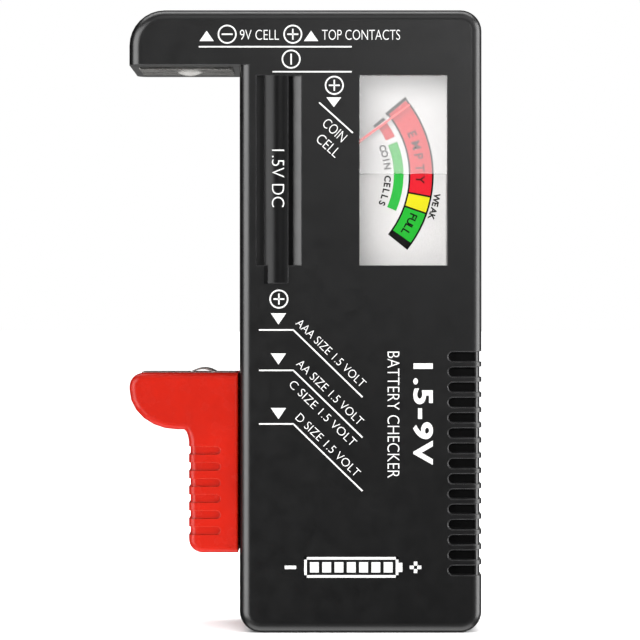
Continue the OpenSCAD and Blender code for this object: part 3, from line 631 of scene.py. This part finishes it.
def gauge_print():
    """Battery pictogram near the foot: a framed cell with level bars between its pole signs."""
    marks = Print(FACE_Y, PRINT_ORIGIN)
    left, right, low, high = -0.2, 16.2, 9.3, 12.9
    frame_line, sign_line, cap_line = 0.45, 0.6, 0.7
    middle = (low + high) / 2
    marks.bar(left, low + frame_line / 2, right, low + frame_line / 2, frame_line)
    marks.bar(left, high - frame_line / 2, right, high - frame_line / 2, frame_line)
    marks.bar(left + frame_line / 2, low, left + frame_line / 2, high, frame_line)
    marks.bar(right - frame_line / 2, low, right - frame_line / 2, high, frame_line)
    marks.bar(right + cap_line / 2, middle - 0.8, right + cap_line / 2, middle + 0.8, cap_line)
    bars, room = 7, 0.5
    pitch = (right - left - 2 * frame_line - room) / bars
    for k in range(bars):
        x = left + frame_line + room + pitch * (k + 0.5) - room / 2
        marks.bar(x, low + 0.9, x, high - 0.9, pitch - 0.6)
    marks.bar(-3.6, middle, -1.6, middle, sign_line)
    marks.bar(18.2, middle, 20.2, middle, sign_line)
    marks.bar(19.2, middle - 1, 19.2, middle + 1, sign_line)
    marks.build("gauge_print", "case", WHITE_INK)


def wrap_on_rib(mesh):
    """Cuts flat marks into upright strips and lays them on the rib's curve."""
    strip = 0.24 * MM
    for k in range(-5, 6):
        everything = mesh.verts[:] + mesh.edges[:] + mesh.faces[:]
        bmesh.ops.bisect_plane(mesh, geom=everything, plane_no=(1, 0, 0),
                               plane_co=(RIB_X + k * strip, 0, 0))
    # The ink's face ends 0.3 INK proud of the rib and its back 0.9 INK inside it
    for vert in mesh.verts:
        aside = vert.co.x - RIB_X
        radius = RIB_R - 0.3 * INK - vert.co.y * 0.6
        vert.co.y = RIB_Y - math.sqrt(radius ** 2 - aside ** 2)


def rib_print():
    """Wording that runs down the trough's rounded rib and follows its curve."""
    marks = Print(0.0, PRINT_ORIGIN)
    marks.words("1.5V DC", -4.75, 78.85, 2.15, 10.0, -90)
    marks.build("rib_print", "case", WHITE_INK, wrap_on_rib)


# The scale, in millimetres and degrees about the pivot; words and lines lie over its colours
DIAL_CENTRE = (PIVOT[0], PIVOT[2])
OVERPRINT_Y = DIAL_Y - 2 * INK
INNER, OUTER = 16.87, 20.97
SMALL_BAND = (14.08, 15.8)
START, WEAK, FULL, STOP, END = 39.0, -10.6, -19.0, -35.0, -38.8
OUTLINE = 0.30
START_MARK = 0.55


def dial_fields():
    """Coloured fields of the wide band and of the small one inside it."""
    layers = (("dial_red", RED_INK, ((INNER, OUTER, START, WEAK), (*SMALL_BAND, 36.6, 25.5))),
              ("dial_yellow", YELLOW_INK, ((INNER, OUTER, WEAK, FULL),)),
              ("dial_green", GREEN_INK, ((INNER, OUTER, FULL, STOP),)),
              ("dial_pale_green", PALE_GREEN_INK, ((*SMALL_BAND, 21.8, -23.7),)))
    for name, material, parts in layers:
        marks = Print(DIAL_Y, DIAL_CENTRE)
        for part in parts:
            marks.sector(0, 0, *part)
        marks.build(name, "case", material)


def spoke(marks, inner, outer, angle, width):
    """A stroke that points at the pivot."""
    c, s = math.cos(math.radians(angle)), math.sin(math.radians(angle))
    marks.bar(inner * c, inner * s, outer * c, outer * s, width)


def dial_outlines(marks):
    """The wide band's outline, its divisions and black end, and the two start marks."""
    for radius in (OUTER, INNER):
        marks.sector(0, 0, radius - OUTLINE / 2, radius + OUTLINE / 2, START, END)
    marks.sector(0, 0, INNER, OUTER, STOP, END)
    for angle in (WEAK, FULL):
        spoke(marks, INNER, OUTER, angle, OUTLINE)
    spoke(marks, INNER - 0.3, OUTER + 0.2, START + 0.9, START_MARK)
    spoke(marks, SMALL_BAND[0] - 0.5, SMALL_BAND[1] + 0.1, START - 0.3, START_MARK)


def dial_print():
    """Coloured scale, its outlines, start marks and words."""
    dial_fields()
    marks = Print(OVERPRINT_Y, DIAL_CENTRE)
    dial_outlines(marks)
    marks.curved_words("COIN CELLS", 13.0, 21.5, -22.5, 1.2, 0.03)
    marks.curved_words("WEAK", 22.0, -10.8, -19.6, 1.15, 0.035)
    marks.curved_words("FULL", 18.95, -22.6, -32.0, 1.4, 0.02)
    marks.build("dial_lines", "case", BLACK_INK)
    marks = Print(OVERPRINT_Y, DIAL_CENTRE)
    marks.curved_words("EMPTY", 18.75, 22.5, -2.5, 1.55, 0.02)
    marks.build("dial_word", "case", DULL_RED_INK)


nine_volt_print()
button_cell_print()
cell_size_print()
title_print()
gauge_print()
rib_print()
dial_print()


# ---------------------------------------------------------------- stage, light and camera

CENTRE_Z = 54.6 * MM
CAMERA_ASIDE = 2.55 * MM
CAMERA_BACK = 456 * MM


def floor():
    """A pale floor under the object."""
    size = 12.0
    data = bpy.data.meshes.new("floor")
    data.from_pydata([(-size, -size, 0), (size, -size, 0), (size, size, 0), (-size, size, 0)],
                     [], [(0, 1, 2, 3)])
    plane = bpy.data.objects.new("floor", data)
    SCENE.collection.objects.link(plane)
    p = Paint("pale_floor", 0.9)
    p.plug(p.blend(p.noise(0.05, 2), (0.80, 0.80, 0.80), (0.78, 0.78, 0.78)), "Base Color")
    p.shader.inputs["Specular IOR Level"].default_value = 0.0
    data.materials.append(p.material)
    plane.visible_glossy = False
    plane.visible_shadow = False
    sun = bpy.data.lights.new("floor_sun", "SUN")
    sun.energy = 4.2
    sun.angle = math.radians(70)
    lamp = bpy.data.objects.new("floor_sun", sun)
    SCENE.collection.objects.link(lamp)
    lamp.rotation_euler = (math.radians(20), math.radians(-15), 0)
    only(lamp, [plane])


def world():
    """White for the camera, an even grey for diffuse light and almost black in reflections."""
    SCENE.world = bpy.data.worlds.new("room")
    SCENE.world.use_nodes = True
    nodes, links = SCENE.world.node_tree.nodes, SCENE.world.node_tree.links
    nodes.clear()
    out = nodes.new("ShaderNodeOutputWorld")
    path = nodes.new("ShaderNodeLightPath")
    surface = nodes.new("ShaderNodeBackground").outputs[0]
    surface.node.inputs["Color"].default_value = (0.62, 0.62, 0.625, 1)
    for ray, shade in (("Is Glossy Ray", 0.02), ("Is Camera Ray", 1.0)):
        ground = nodes.new("ShaderNodeBackground")
        ground.inputs["Color"].default_value = (shade, shade, shade, 1)
        mixed = nodes.new("ShaderNodeMixShader")
        links.new(path.outputs[ray], mixed.inputs["Fac"])
        links.new(surface, mixed.inputs[1])
        links.new(ground.outputs[0], mixed.inputs[2])
        surface = mixed.outputs[0]
    links.new(surface, out.inputs["Surface"])


def only(lamp, receivers):
    """Lets a lamp light these objects and no others."""
    group = bpy.data.collections.new(lamp.name + "_receivers")
    for obj in receivers:
        group.objects.link(obj)
    lamp.light_linking.receiver_collection = group


def softbox(name, place, target, width, height, radiance, receivers=None,
            diffuse=True, glossy=True):
    """A rectangular light of an even radiance.

    receivers limits it to those objects. Without diffuse it shows only in reflections, and
    without glossy it shows in none.
    """
    data = bpy.data.lights.new(name, "AREA")
    data.shape = "RECTANGLE"
    data.size, data.size_y = width, height
    data.energy = radiance * math.pi * width * height
    lamp = bpy.data.objects.new(name, data)
    SCENE.collection.objects.link(lamp)
    lamp.location = place
    lamp.rotation_euler = (Vector(target) - Vector(place)).to_track_quat("-Z", "Y").to_euler()
    lamp.visible_diffuse = diffuse
    lamp.visible_glossy = glossy
    if receivers:
        only(lamp, receivers)
    return lamp


def lights():
    """Soft light from above and in front, and panels that the rounded edges mirror."""
    middle = (0, 0, CENTRE_Z)
    meter = dial_objects() + [NODES["window_lens"]]
    outside = [obj for obj in [*NODES.values(), *PIECES.values()] if obj not in meter]
    softbox("front", (0.16, -0.69, 0.21), middle, 0.26, 0.14, 4.0, outside)
    softbox("upper_wing", (0.10, -0.28, 0.42), middle, 0.50, 0.24, 1.5, diffuse=False)
    softbox("lower_wing", (0.0, -0.26, -0.24), middle, 0.50, 0.22, 0.4, diffuse=False)
    softbox("right_wing", (0.32, -0.28, 0.18), middle, 0.24, 0.36, 0.8, diffuse=False)
    softbox("top", (0.0, 0.045, 0.42), middle, 0.60, 0.14, 6.0)
    softbox("left_panel", (-0.31, -0.25, 0.08), (0, -0.02, CENTRE_Z), 0.36, 0.50, 7.2,
            diffuse=False)
    softbox("right_panel", (0.40, -0.04, 0.08), middle, 0.28, 0.50, 7.4)
    softbox("under", (0.0, -0.02, -0.25), (0, 0, 0), 0.50, 0.24, 2.6, diffuse=False)
    softbox("back_fill", (0.0, 0.60, 0.30), middle, 0.50, 0.40, 1.2, glossy=False)
    under_arm()
    dial_light()
    glare()


def under_arm():
    """Light from behind and below that the arm's underside and its contact mirror."""
    low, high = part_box("arm_contact")
    arm = ((low[0] + high[0]) / 2, 0.0, low[2])
    contact = [NODES["arm_contact"]]
    shells = [NODES["front_shell"], NODES["rear_shell"]]
    behind = (arm[0], 0.40, 0.03)
    below = (arm[0], 0.22, -0.12)
    softbox("behind_case", behind, arm, 0.60, 0.16, 0.30, shells, diffuse=False)
    softbox("behind", behind, arm, 0.60, 0.16, 0.03, contact, diffuse=False)
    softbox("below_behind", below, arm, 0.40, 0.24, 0.9, contact, diffuse=False)


def dial_objects():
    """What shows behind the window."""
    found = [NODES[name] for name in ("dial_plate", "pointer", "balance_weights")]
    return found + [piece for name, piece in PIECES.items() if name.startswith("dial_")]


def dial_light():
    """Broad light over the whole dial, and a narrow beam on the half below the glare."""
    low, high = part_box("window_lens")
    inside = dial_objects()
    middle = ((low[0] + high[0]) / 2, DIAL_Y, PIVOT[2])
    softbox("dial_fill", (-0.18, -0.40, 0.22), middle, 0.40, 0.30, 9.5, inside, glossy=False)
    top = PIVOT[2] + 0.05 * MM
    tall = top - low[2] + 4 * MM
    place = (middle[0], low[1] - 0.03, top - tall / 2)
    beam = softbox("dial_beam", place, (place[0], 0, place[2]), 24 * MM, tall, 0.92, inside,
                   glossy=False)
    beam.data.spread = math.radians(1.5)


def glare():
    """Small panel whose reflection covers the upper half of the meter window."""
    low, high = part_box("window_lens")
    distance = 0.30
    edge_z = PIVOT[2] - 0.1 * MM
    grow = 1 + distance / CAMERA_BACK
    z0 = CENTRE_Z + (edge_z - CENTRE_Z) * grow
    z1 = z0 + 40 * MM
    x = CAMERA_ASIDE + ((low[0] + high[0]) / 2 - CAMERA_ASIDE) * grow
    y = low[1] - distance
    softbox("window_glare", (x, y, (z0 + z1) / 2), (x, 0, (z0 + z1) / 2), 60 * MM, z1 - z0,
            10.3, [NODES["window_lens"]])


def camera():
    """Level with the middle of the case, straight in front."""
    data = bpy.data.cameras.new("camera")
    data.sensor_width = 36
    data.lens = 147.2
    data.clip_start = 0.01
    cam = bpy.data.objects.new("camera", data)
    SCENE.collection.objects.link(cam)
    cam.location = (CAMERA_ASIDE, FACE_Y - CAMERA_BACK, CENTRE_Z)
    cam.rotation_euler = (math.pi / 2, 0, 0)
    SCENE.camera = cam


floor()
world()
lights()
camera()
SCENE.view_settings.view_transform = "Standard"
